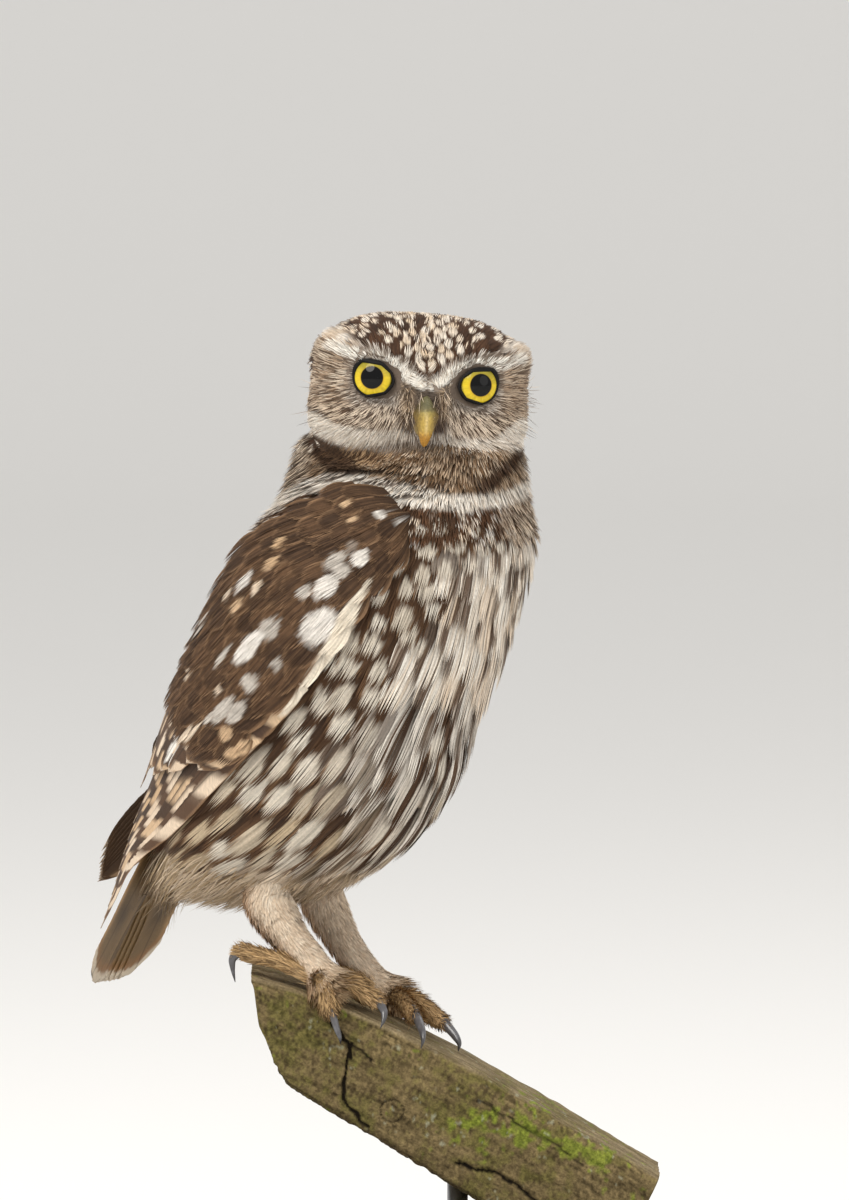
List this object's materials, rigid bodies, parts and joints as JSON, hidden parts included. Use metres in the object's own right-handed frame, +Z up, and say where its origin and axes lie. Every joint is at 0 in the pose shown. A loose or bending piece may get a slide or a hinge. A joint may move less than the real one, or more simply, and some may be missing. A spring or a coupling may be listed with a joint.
{
  "type": "little owl model",
  "caption": "Life-size still model of a little owl looking over its shoulder, gripping a cut branch held above a flat display base by short rods.",
  "frame": {"origin": "centre of the stand base's underside, on the surface it stands on", "axes": "+Z up, +X towards the right of the picture, +Y away from the camera; the owl's body heads 30 degrees from +X towards the camera and its face looks along -Y"},
  "size_m": [0.176, 0.118, 0.3017],
  "materials": {
    "plumage": "brown head, neck and covert feathers, matt",
    "barred": "dark brown flight feathers with pale notches, matt",
    "breast": "buff-white breast feathers streaked with brown, matt",
    "leg": "short whitish leg feathering, matt",
    "toe": "tan bristly toes, matt",
    "horn": "dark grey claws, glossy",
    "bill": "olive-yellow bill, satin",
    "eye": "yellow glass-like eyes, wet gloss",
    "wood": "weathered grey-brown wood with moss and lichen",
    "stand": "dark stained wooden base, satin",
    "steel": "plain steel rod"
  },
  "bodies": {
    "root": {"head": "plumage", "bill_upper": "bill", "bill_lower": "bill", "eye_right": "eye", "eye_left": "eye", "neck": "plumage", "torso": "breast", "wing_right_coverts": "plumage", "wing_right_secondaries": "barred", "wing_right_primaries": "barred", "wing_left_coverts": "plumage", "wing_left_secondaries": "barred", "wing_left_primaries": "barred", "tail": "barred", "thigh_right": "leg", "thigh_left": "leg", "tarsus_right": "leg", "tarsus_left": "leg", "foot_right": "toe", "foot_left": "toe", "perch": "wood", "stand_base": "stand", "stand_rod_1": "steel", "stand_rod_2": "steel", "claw_right_1": "horn", "claw_right_2": "horn", "claw_right_3": "horn", "claw_right_4": "horn", "claw_left_1": "horn", "claw_left_2": "horn", "claw_left_3": "horn", "claw_left_4": "horn"}
  },
  "joints": []
}
